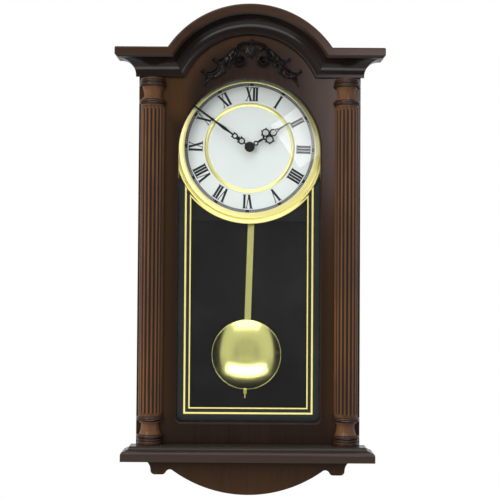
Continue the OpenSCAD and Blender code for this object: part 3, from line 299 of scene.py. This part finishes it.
def column_wood():
    """Fluted wood: the flutes' edges are rubbed lighter, partly as a painted highlight, and their bottoms
    are darkened with painted shade.
    """
    return wood("column_lacquer", (0.030, 0.0125, 0.0065), (0.105, 0.048, 0.021), "z", column_burnish,
                amber=(0.12, 0.052, 0.018), coat=0.3, edge_amber=0.9, reach=3.5, corner_shade=0.9, tint=column_flute_shade_and_glaze)


def carving():
    """Cast crest: near-black glossy lacquer, rubbed brown on its high spots, with painted shade in its
    corners and on its lowest parts by the door.
    """
    look = Look("carving_lacquer")
    raised = look.step(look.y, DOOR_FRONT - 0.8 * MM, DOOR_FRONT - 2.2 * MM)
    mottle = look.noise(160, None, 3)
    worn = look.step(look.hollow(2.5 * MM), 0.75, 1.0)
    worn = look.math("MULTIPLY", worn, look.step(mottle, 0.35, 0.7, 0.1, 0.7))
    black = look.mix(worn, (0.0025, 0.0016, 0.0014), (0.014, 0.0068, 0.0045))
    # Painted shade: ambient occlusion darkens the crest's corners, and its lowest parts next to the door
    # are darker.
    unshaded = look.step(look.hollow(1.6 * MM), 0.45, 0.9)
    colour = look.mix(look.math("MULTIPLY", raised, unshaded), (0.0035, 0.0018, 0.0013), black)
    return look.surface(Base_Color=colour, Roughness=look.step(mottle, 0.3, 0.7, 0.09, 0.15),
                        Specular_IOR_Level=look.mix(unshaded, (0.02, 0.02, 0.02), (0.16, 0.16, 0.16)),
                        Normal=look.bump(mottle, 0.02 * MM))


def metal(name, colour, rough, relief=None, depth=0.01, tarnish=0.25, soft=0.3):
    """Metal with faint tarnish, and with a fine grain or the tool marks that relief(look) gives.

    depth is the height of the grain or marks, and soft the rounding of edges, both in millimetres.
    """
    look = Look(name)
    stain = look.noise(55, None, 4, 0.6, 0.5)
    speck = look.noise(900, None, 2)
    shade = look.mix(look.step(stain, 0.4, 0.75, 0.0, tarnish), colour, tuple(0.7 * c for c in colour))
    height = relief(look) if relief else speck
    roughness = look.math("ADD", look.step(stain, 0.3, 0.8, 0.0, tarnish * 0.3), rough)
    normal = look.rounded(soft * MM) if soft else None
    return look.surface(Base_Color=shade, Metallic=1.0, Roughness=roughness,
                        Normal=look.bump(height, depth * MM, normal))


def brushed(look):
    """Straight brushing along Z."""
    return look.noise(2200, look.stretched(1, 1, 0.01), 2)


def plastic(name, colour, rough=0.42, grit=0.03):
    """Moulded plastic with a fine spark-eroded texture."""
    look = Look(name)
    fine = look.noise(2600, None, 3)
    wide = look.noise(40, None, 2)
    shade = look.mix(look.step(wide, 0.35, 0.7, 0.0, 0.35), colour, tuple(0.8 * c for c in colour))
    return look.surface(Base_Color=shade, Roughness=look.step(fine, 0.3, 0.7, rough - 0.06, rough + 0.08),
                        Normal=look.bump(fine, grit * MM, look.rounded(0.3 * MM)))


def dial_enamel():
    """Cool white dial with a faint pearl mottle."""
    look = Look("dial_enamel")
    grain = look.noise(1800, None, 3)
    colour = look.mix(look.step(grain, 0.4, 0.7, 0.0, 0.1), (0.715, 0.728, 0.738), (0.62, 0.64, 0.66))
    return look.surface(Base_Color=colour, Roughness=0.38, Normal=look.bump(grain, 0.01 * MM))


def ink(name, colour):
    """Printed ink, a little uneven."""
    look = Look(name)
    grain = look.noise(2500, None, 2)
    shade = look.mix(look.step(grain, 0.45, 0.7, 0.0, 0.4), colour, tuple(c + 0.003 for c in colour))
    return look.surface(Base_Color=shade, Roughness=look.step(grain, 0.3, 0.7, 0.4, 0.5),
                        Specular_IOR_Level=0.2, Normal=look.bump(grain, 0.01 * MM))


def gold_foil():
    """Gold transfer line: bright yellow with streaks of its brushing."""
    look = Look("gold_foil")
    streak = look.noise(900, None, 3)
    colour = look.mix(streak, (0.82, 0.66, 0.17), (0.93, 0.82, 0.34))
    return look.surface(Base_Color=colour, Metallic=0.55, Roughness=look.step(streak, 0.3, 0.7, 0.36, 0.5),
                        Normal=look.bump(streak, 0.01 * MM))


GLASS_INDEX = 1.45      # of refraction


def glass():
    """Thin clear glass: what is behind shows through, with reflections that grow towards grazing."""
    look = Look("clear_glass")
    clear = look.add("ShaderNodeBsdfTransparent", [(0.965, 0.98, 0.975)]).outputs[0]
    ripple = look.bump(look.noise(12, None, 1), 0.004 * MM)
    shine = look.add("ShaderNodeBsdfGlossy", {"Color": (1, 1, 1), "Roughness": 0.015, "Normal": ripple})
    back = look.add("ShaderNodeNewGeometry").outputs["Backfacing"]
    index = look.step(back, 0.0, 1.0, GLASS_INDEX, 1 / GLASS_INDEX)     # both faces as from outside
    amount = look.add("ShaderNodeFresnel", {"IOR": index}).outputs[0]
    smear = look.step(look.noise(25, None, 4, 0.6), 0.45, 0.8, 0.8, 1.1)
    both = look.add("ShaderNodeMixShader", [look.math("MULTIPLY", amount, smear), clear, shine.outputs[0]])
    look.tree.links.new(both.outputs[0], look.out.inputs["Surface"])
    return look.mat


def board():
    """Black painted hardboard with a light orange-peel texture, blackest around the dial."""
    look = Look("black_board")
    peel = look.noise(800, None, 3)
    wide = look.noise(30, None, 2)
    colour = look.mix(look.step(wide, 0.3, 0.7), (0.005, 0.0048, 0.0046), (0.008, 0.0075, 0.007))
    behind = look.step(look.y, DIAL.y, DIAL.y + 12 * MM)
    colour = look.mix(behind, (0.003, 0.003, 0.003), colour)
    return look.surface(Base_Color=colour, Roughness=look.step(peel, 0.3, 0.7, 0.45, 0.6),
                        Specular_IOR_Level=0.1, Normal=look.bump(peel, 0.015 * MM))


def rear_wood():
    """Case sides: dark stained wood with long grain."""
    return wood("case_lacquer", (0.028, 0.011, 0.008), (0.075, 0.031, 0.018), "z", rough=0.24)


def circuit():
    """Green circuit board with its tracks."""
    look = Look("circuit_green")
    cells = look.add("ShaderNodeTexVoronoi", {"Vector": look.place, "Scale": 420.0}, distance="MANHATTAN")
    tracks = look.step(cells.outputs["Distance"], 0.2, 0.3)
    colour = look.mix(tracks, (0.02, 0.12, 0.05), (0.01, 0.06, 0.03))
    return look.surface(Base_Color=colour, Roughness=0.35, Normal=look.bump(tracks, 0.05 * MM))


def winding(name, colour):
    """Enamelled copper wire wound in close turns along X."""
    look = Look(name)
    turns = look.math("SINE", look.math("MULTIPLY", look.x, 2 * math.pi / (0.35 * MM)))
    return look.surface(Base_Color=colour, Metallic=0.85, Roughness=0.32,
                        Normal=look.bump(turns, 0.08 * MM))


def sleeve():
    """Battery sleeve: dark printed foil with a copper band."""
    look = Look("cell_sleeve")
    band = look.step(look.x, 12 * MM, 12.4 * MM)
    colour = look.mix(band, (0.015, 0.015, 0.017), (0.45, 0.2, 0.08))
    return look.surface(Base_Color=colour, Metallic=0.4, Roughness=0.3,
                        Normal=look.bump(look.noise(900, None, 2), 0.02 * MM))


def paper():
    """Pressed paper of the loudspeaker's cone, with its fibres."""
    look = Look("cone_paper")
    fibre = look.noise(1400, None, 5, 0.65, 1.2)
    colour = look.mix(fibre, (0.035, 0.033, 0.03), (0.075, 0.07, 0.062))
    return look.surface(Base_Color=colour, Roughness=0.8, Normal=look.bump(fibre, 0.12 * MM))


def lathe_lines(look):
    """Fine ridges turned round the bob's centre."""
    pitch = 0.5 * MM
    radius = look.length(look.math("SUBTRACT", look.x, BOB.x), look.math("SUBTRACT", look.z, BOB.z))
    return look.math("SINE", look.math("MULTIPLY", radius, 2 * math.pi / pitch))


LOOKS = {
    "panel_wood": wood("panel_lacquer", (0.0065, 0.003, 0.0018), (0.0175, 0.0088, 0.005), "z",
                       panel_amber_and_painted_light, amber=(0.037, 0.0165, 0.0052)),
    "moulding_wood": wood("moulding_lacquer", (0.017, 0.0082, 0.0045), (0.031, 0.015, 0.008), "x",
                          amber=(0.05, 0.026, 0.015), coat=0.2, tint=cove_shade_and_base_sheen),
    "column_wood": column_wood(),
    "case_wood": rear_wood(),
    "carving_resin": carving(),
    "black_board": board(),
    "clear_glass": glass(),
    "black_paint": ink("border_paint", (0.004, 0.005, 0.0055)),
    "gold_paint": gold_foil(),
    "white_dial": dial_enamel(),
    "black_print": ink("dial_ink", (0.003, 0.003, 0.004)),
    "yellow_brass": metal("bezel_brass", (0.96, 0.865, 0.35), 0.3, None, 0.0005, 0.06, 0),
    "bob_brass": metal("bob_brass", (0.74, 0.69, 0.25), 0.2, lathe_lines, 0.001, 0.06, 0),
    "plain_brass": metal("plain_brass", (0.96, 0.88, 0.36), 0.36, brushed, 0.001, 0.1),
    "black_hand": metal("hand_enamel", (0.012, 0.012, 0.014), 0.32, None, 0.01),
    "zinc_steel": metal("zinc_steel", (0.62, 0.62, 0.60), 0.34, brushed, 0.015, 0.4),
    "dark_steel": metal("dark_steel", (0.16, 0.15, 0.15), 0.42, None, 0.02, 0.4),
    "movement_plastic": plastic("movement_plastic", (0.018, 0.018, 0.019)),
    "gear_plastic": plastic("gear_plastic", (0.68, 0.66, 0.58), 0.36, 0.01),
    "coil_copper": winding("coil_copper", (0.62, 0.25, 0.10)),
    "board_green": circuit(),
    "cell_sleeve": sleeve(),
    "cone_paper": paper(),
    "wire_vinyl": plastic("wire_vinyl", (0.35, 0.02, 0.02), 0.35, 0.01),
}


def finish_of(node):
    """The finish that the record gives a node."""
    for part in frame["record"]["subparts"]:
        if part["node"] == node:
            return part["material_slot"]
    raise KeyError(node)


for name, piece in nodes.items():
    look = LOOKS[finish_of(name)]
    for slot in piece.material_slots:
        slot.material = look


def link(piece):
    """Puts a new object in the scene."""
    bpy.context.scene.collection.objects.link(piece)
    return piece


def solid(name, mesh):
    """A new object from a bmesh, which is used up."""
    data = bpy.data.meshes.new(name)
    mesh.to_mesh(data)
    mesh.free()
    return link(bpy.data.objects.new(name, data))


def stand_in(piece, node, body):
    """The piece is seen in place of a CAD node, with its finish, and moves with the body."""
    finish = finish_of(node)
    piece.data.materials.append(LOOKS[finish])
    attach(piece, body)
    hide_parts(node)


# ---------------------------------------------------------------- carved crest

CREST_X = 1.5           # its centre line, and all its sizes, in millimetres from the dial's centre
VOXEL = 0.38 * MM

# leaves of the left half: stem, pull, tip, half width, height
LEAVES = [
    [(-19.5, 109.5), (-33, 87), (-43, 97), 4.4, 5.6],
    [(-20, 107), (-28.5, 96), (-25, 87), 2.9, 6.0],
    [(-25, 102.5), (-30, 94), (-32.5, 86), 3.2, 5.4],
    [(-30.5, 94), (-44, 72), (-56, 84), 4.8, 5.8],
    [(-32, 90), (-34, 80), (-42.5, 75), 3.0, 4.6],
    [(-42, 80), (-51.5, 77), (-53.5, 65.5), 3.0, 4.6],
    [(-31.5, 94), (-33, 86), (-29.5, 81.5), 2.6, 4.8],
]
EYE = (-12.9, 95.8)     # centre of the left volute

# ribs of the shell between the scrolls, from one top to their tips
SHELL_TOP = (0, 114.5)
SHELL_TIPS = [(0.8, 97.3), (-3, 97.6), (-5.6, 99), (-7.9, 102.2), (-9, 106.5)]


def bend(a, b, c, t):
    """The point at t of a curve from a to c, pulled towards b."""
    return tuple((1 - t) ** 2 * p + 2 * t * (1 - t) * q + t * t * r for p, q, r in zip(a, b, c))


def loft(mesh, path, half_width, height, profile, steps=26, across=12):
    """A closed ribbon on the door: path(t) is its line, and profile(s) its section from edge to edge."""
    rings = []
    for i in range(steps + 1):
        t = i / steps
        here, ahead, behind = path(t), path(min(t + 0.01, 1)), path(max(t - 0.01, 0))
        along = Vector((ahead[0] - behind[0], ahead[1] - behind[1])).normalized()
        wide = max(half_width(t), 0.12)
        ring = []
        for j in range(across + 1):
            s = 2 * j / across - 1
            x, z = here[0] - along.y * wide * s, here[1] + along.x * wide * s
            ring.append(crest_vertex(mesh, x, z, max(height(t) * profile(s), 0.15)))
        for s in (1, -1):
            x, z = here[0] - along.y * wide * s, here[1] + along.x * wide * s
            ring.append(crest_vertex(mesh, x, z, -0.3))
        rings.append(ring)
    for first, second in zip(rings, rings[1:]):
        for j in range(len(first)):
            k = (j + 1) % len(first)
            mesh.faces.new((first[j], first[k], second[k], second[j]))
    mesh.faces.new(rings[0])
    mesh.faces.new(rings[-1][::-1])


def crest_vertex(mesh, x, z, height):
    """A point of the crest, height in front of the door."""
    return mesh.verts.new((DIAL.x + (CREST_X + x) * MM, DOOR_FRONT - height * MM, DIAL.z + z * MM))


def leaf(mesh, stem, pull, tip, wide, tall):
    """An acanthus lobe: a vein and two rolled rims with hollows between, curling forwards at its tip."""
    def path(t):
        return bend(stem, pull, tip, t)

    def half_width(t):
        return wide * math.sin(math.pi * t ** 0.6) ** 0.8 if 0 < t < 1 else 0

    def height(t):
        return tall * (0.5 + 0.25 * math.sin(math.pi * t ** 0.8) + 0.35 * t ** 3)

    def profile(s):
        return (1 - abs(s) ** 8) * (0.7 + 0.3 * math.cos(2.6 * math.pi * (s - 0.1)))

    loft(mesh, path, half_width, height, profile)


def knob(mesh, x, z, rx, rz, tall):
    """A low oval boss."""
    def path(t):
        return (x, z + rz * math.cos(math.pi * (1 - t)))

    def half_width(t):
        return rx * math.sin(math.pi * t)

    loft(mesh, path, half_width, lambda t: tall * (0.35 + 0.65 * math.sin(math.pi * t)),
         lambda s: math.sqrt(max(1 - s * s, 0)), steps=14, across=10)


def scroll(mesh):
    """The big C: its back sweeps down from the bud, and its end winds into the volute."""
    top, pull, side = (-1, 115.8), (-19.8, 117), (-19.5, 98)
    r0, r1 = 6.6, 2.2           # of the volute's spiral, from its start to its end
    turn0, turn1 = 165, 600

    def winding_path(t):
        radius, angle = r0 + (r1 - r0) * t, math.radians(turn0 + (turn1 - turn0) * t)
        return (EYE[0] + radius * math.cos(angle), EYE[1] + radius * math.sin(angle))

    def groove(s):
        return (1 - abs(s) ** 6) * (0.8 + 0.2 * math.cos(2 * math.pi * (s - 0.45)))

    loft(mesh, lambda t: bend(top, pull, side, t), lambda t: 1.7 + 0.7 * t,
         lambda t: 4.6 + 1.4 * t, groove, steps=28)
    loft(mesh, winding_path, lambda t: 2.4 - 1.1 * t, lambda t: 6.0 + 0.6 * t, groove, steps=70)


def crest_half(mesh):
    """Everything left of the centre line."""
    for parts in LEAVES:
        leaf(mesh, *parts)
    scroll(mesh)
    for tip in SHELL_TIPS:
        mid = tuple((a + b) / 2 for a, b in zip(SHELL_TOP, tip))
        leaf(mesh, SHELL_TOP, mid, tip, 1.1, 2.4)
    knob(mesh, *EYE, 1.9, 2.1, 6.2)
    leaf(mesh, (-15, 110.5), (-12, 110.5), (-8.5, 105.5), 2.3, 5.0)     # bud under the scroll's back
    knob(mesh, -42.8, 97.2, 1.8, 1.9, 6.4)      # curled tips of the two long leaves
    knob(mesh, -55.4, 83.6, 2.1, 2.4, 6.4)
    knob(mesh, -1.4, 117.0, 2.0, 1.9, 5.4)      # bud
    knob(mesh, -31.2, 91.5, 2.0, 2.6, 6.0)


def carved_crest():
    """Both halves and the bud between them, fused into one skin and softened."""
    mesh = bmesh.new()
    crest_half(mesh)
    copied = bmesh.ops.duplicate(mesh, geom=mesh.verts[:] + mesh.edges[:] + mesh.faces[:])
    mirrored = [v for v in copied["geom"] if isinstance(v, bmesh.types.BMVert)]
    centre = DIAL.x + CREST_X * MM
    for v in mirrored:
        v.co.x = 2 * centre - v.co.x
    flipped = [f for f in copied["geom"] if isinstance(f, bmesh.types.BMFace)]
    bmesh.ops.reverse_faces(mesh, faces=flipped)
    knob(mesh, 0, 117.4, 2.4, 2.3, 6.8)
    bmesh.ops.recalc_face_normals(mesh, faces=list(mesh.faces))
    raw = solid("crest_raw", mesh)
    fuse = raw.modifiers.new("fuse", "REMESH")
    fuse.mode, fuse.voxel_size, fuse.use_smooth_shade = "VOXEL", VOXEL, True
    soften = raw.modifiers.new("soften", "SMOOTH")
    soften.factor, soften.iterations = 0.5, 4
    depsgraph = bpy.context.evaluated_depsgraph_get()
    final = bpy.data.meshes.new_from_object(raw.evaluated_get(depsgraph))
    bpy.data.objects.remove(raw)
    stand_in(link(bpy.data.objects.new("carved_crest", final)), "carved_ornament", "door")


carved_crest()


# ---------------------------------------------------------------- bezel

BEZEL_IN = 75.8         # radius of its opening, in millimetres
DIAL_T = 2.0            # its skirt covers the dial's edge


def bezel_profile(inner, outer):
    """Section as (radius, height in front of the dial): bead, slope, two fine steps and a rolled rim."""
    bead, bead_z = 0.4, 0.9
    roll, roll_z = 2.3, 3.3
    points = [(inner, 0.0), (inner, 0.8)]
    for turn in (150, 120, 90, 60):
        way = math.radians(turn)
        points.append((inner + bead + bead * math.cos(way), bead_z + bead * math.sin(way)))
    points += [(inner + 5.1, 2.8), (inner + 5.5, 2.8), (inner + 5.8, 3.5)]
    points += [(inner + 6.4, 3.5), (inner + 6.7, 2.9), (inner + 7.3, 2.9)]
    for turn in range(150, -1, -10):
        way = math.radians(turn)
        points.append((outer - roll + roll * math.cos(way), roll_z + roll * math.sin(way)))
    points += [(outer, -DIAL_T), (outer - 1.4, -DIAL_T), (outer - 1.4, 2.6)]
    return points + [(inner + 7.4, 1.9), (inner + 4.6, 1.3), (inner + 2.6, 0.0)]


def bezel_ring():
    """The bezel's section turned round the dial's centre."""
    low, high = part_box("bezel")
    section = bezel_profile(BEZEL_IN, (high.x - low.x) / 2 / MM)
    face = high.y - DIAL_T * MM
    count = 256
    mesh = bmesh.new()
    rings = []
    for k in range(count):
        turn = 2 * math.pi * k / count
        rings.append([mesh.verts.new((DIAL.x + r * MM * math.cos(turn), face - h * MM,
                                      DIAL.z + r * MM * math.sin(turn))) for r, h in section])
    for first, second in zip(rings, rings[1:] + rings[:1]):
        for i in range(len(section)):
            j = (i + 1) % len(section)
            mesh.faces.new((first[i], first[j], second[j], second[i])).smooth = True
    bmesh.ops.recalc_face_normals(mesh, faces=list(mesh.faces))
    ring = solid("bezel_ring", mesh)
    ring.data.set_sharp_from_angle(angle=math.radians(35))
    stand_in(ring, "bezel", "case")


bezel_ring()


# ---------------------------------------------------------------- studio

FLOOR_Z = -1.6
FLOOR_R = 1.55


def floor():
    """A round, flat and pale floor well below the clock."""
    mesh = bmesh.new()
    bmesh.ops.create_circle(mesh, cap_ends=True, radius=FLOOR_R, segments=96)
    for v in mesh.verts:
        v.co.z = FLOOR_Z
    piece = solid("floor", mesh)
    look = Look("pale_floor")
    patch = look.noise(3, None, 3)
    colour = look.mix(look.step(patch, 0.3, 0.7), (0.86, 0.86, 0.85), (0.82, 0.82, 0.81))
    piece.data.materials.append(look.surface(Base_Color=colour, Roughness=0.7))


def softbox(name, place, target, width, height, radiance, colour=(1, 1, 1), turn=0.0):
    """A rectangular studio lamp of a given radiance, aimed at a point and turned about its aim."""
    lamp = bpy.data.lights.new(name, "AREA")
    lamp.shape, lamp.size, lamp.size_y = "RECTANGLE", width, height
    lamp.energy = radiance * math.pi * width * height
    lamp.color = colour
    piece = link(bpy.data.objects.new(name, lamp))
    piece.location = place
    aim = (Vector(target) - Vector(place)).to_track_quat("-Z", "Y")
    piece.rotation_mode = "QUATERNION"
    piece.rotation_quaternion = aim @ Quaternion((0, 0, 1), turn)
    piece.visible_camera = False
    return piece


def shade_from(lamp, pieces):
    """The lamp doesn't light these pieces, as if a flag stood before it."""
    shaded = bpy.data.collections.new(lamp.name + "_flag")
    for piece in pieces:
        shaded.objects.link(bpy.data.objects[piece])
    for entry in shaded.collection_objects:
        entry.light_linking.link_state = "EXCLUDE"
    lamp.light_linking.receiver_collection = shaded


def reflector(name, *args, only=(), **settings):
    """A card that only shows in glossy surfaces, or only in those of the pieces named."""
    card = softbox(name, *args, **settings)
    card.visible_diffuse = False
    if only:
        seen_in = bpy.data.collections.new(name + "_seen_in")
        for piece in only:
            seen_in.objects.link(bpy.data.objects[piece])
        card.light_linking.receiver_collection = seen_in


def fill(*args, **settings):
    """A lamp too soft to show in glossy surfaces."""
    softbox(*args, **settings).visible_glossy = False


def world():
    """Light from all round, white from behind the clock and grey from its front; the camera sees white."""
    sky = bpy.data.worlds.new("studio")
    air = ShaderTree(sky)
    way = air.add("ShaderNodeTexCoord").outputs["Generated"]
    split = air.add("ShaderNodeSeparateXYZ", [way]).outputs
    front = air.add("ShaderNodeMapRange", [split["Y"], -1.0, 0.0, 0.0, 1.0]).outputs[0]
    greys = [(0.0, 0.3), (0.012, 0.3), (0.06, 0.62), (0.14, 0.95), (0.6, 1.05), (1.0, 1.1)]
    tone = air.ramp(front, [(place, (grey, grey, grey)) for place, grey in greys])
    low = air.add("ShaderNodeMapRange", [split["Z"], -0.5, -0.1, 0.3, 1.0]).outputs[0]
    dome = air.add("ShaderNodeVectorMath", {0: tone, "Scale": low}, operation="SCALE").outputs[0]
    seen = air.add("ShaderNodeLightPath").outputs["Is Camera Ray"]
    glow = air.add("ShaderNodeBackground", [air.mix(seen, dome, (1, 1, 1)), 1.0])
    air.add("ShaderNodeOutputWorld", [glow.outputs[0]])
    bpy.context.scene.world = sky


def camera():
    """In front of the clock, a little below its dial, tilted up."""
    lens = bpy.data.cameras.new("camera")
    lens.lens, lens.sensor_width = 68.5, 36
    piece = link(bpy.data.objects.new("camera", lens))
    tilt, roll = math.radians(90 + 1.41), math.radians(0.38)
    place = Matrix.Translation((0.0012, -1.174, -0.2216))
    piece.matrix_world = place @ Matrix.Rotation(tilt, 4, "X") @ Matrix.Rotation(roll, 4, "Z")
    bpy.context.scene.camera = piece


floor()
world()
CLOCK = (0, -0.09, -0.17)
key = softbox("key", (-0.85, -1.45, 0.85), CLOCK, 0.8, 0.8, 5.5, (1.0, 0.975, 0.94))
shade_from(key, ["dial_plate", "bezel_ring", "bob_shell", "pendulum_rod"])
fill("front_left", (-0.95, -1.7, 0.1), CLOCK, 0.6, 0.9, 10.2, (1.0, 0.98, 0.95))
fill("front_right", (0.7, -1.75, 0.3), CLOCK, 0.6, 0.8, 2.0, (0.93, 0.95, 1.0))
softbox("top", (0, -1.1, 1.3), (0, -0.7, FLOOR_Z), 1.6, 1.0, 3.0)
reflector("low_card", (0, -1.4, -1.2), CLOCK, 2.2, 0.5, 6.5)
reflector("right_card", (0.33, -1.75, 0.26), CLOCK, 0.24, 0.5, 8.0, (1.0, 0.88, 0.95),
          only=["crown_moulding", "base_moulding", "door_panel", "right_column", "bezel_ring",
                "pendulum_rod"])
reflector("window", (0.127, -1.5, 0.136), (0.053, -0.1, -0.06), 0.085, 0.135, 3.0, turn=0.6,
          only=["door_glass"])
reflector("spark", (-0.65, -1.2, 0.65), CLOCK, 0.35, 0.35, 50.0, only=["carved_crest"])
reflector("bob_card", (0, -1.5, -0.3), CLOCK, 0.75, 0.75, 0.36, only=["bob_shell", "pendulum_rod"])
fill("left_edge", (-1.6, -0.4, -0.1), CLOCK, 0.5, 0.9, 13.0, (1.0, 0.97, 0.93))
camera()
bpy.context.scene.view_settings.view_transform = "Standard"
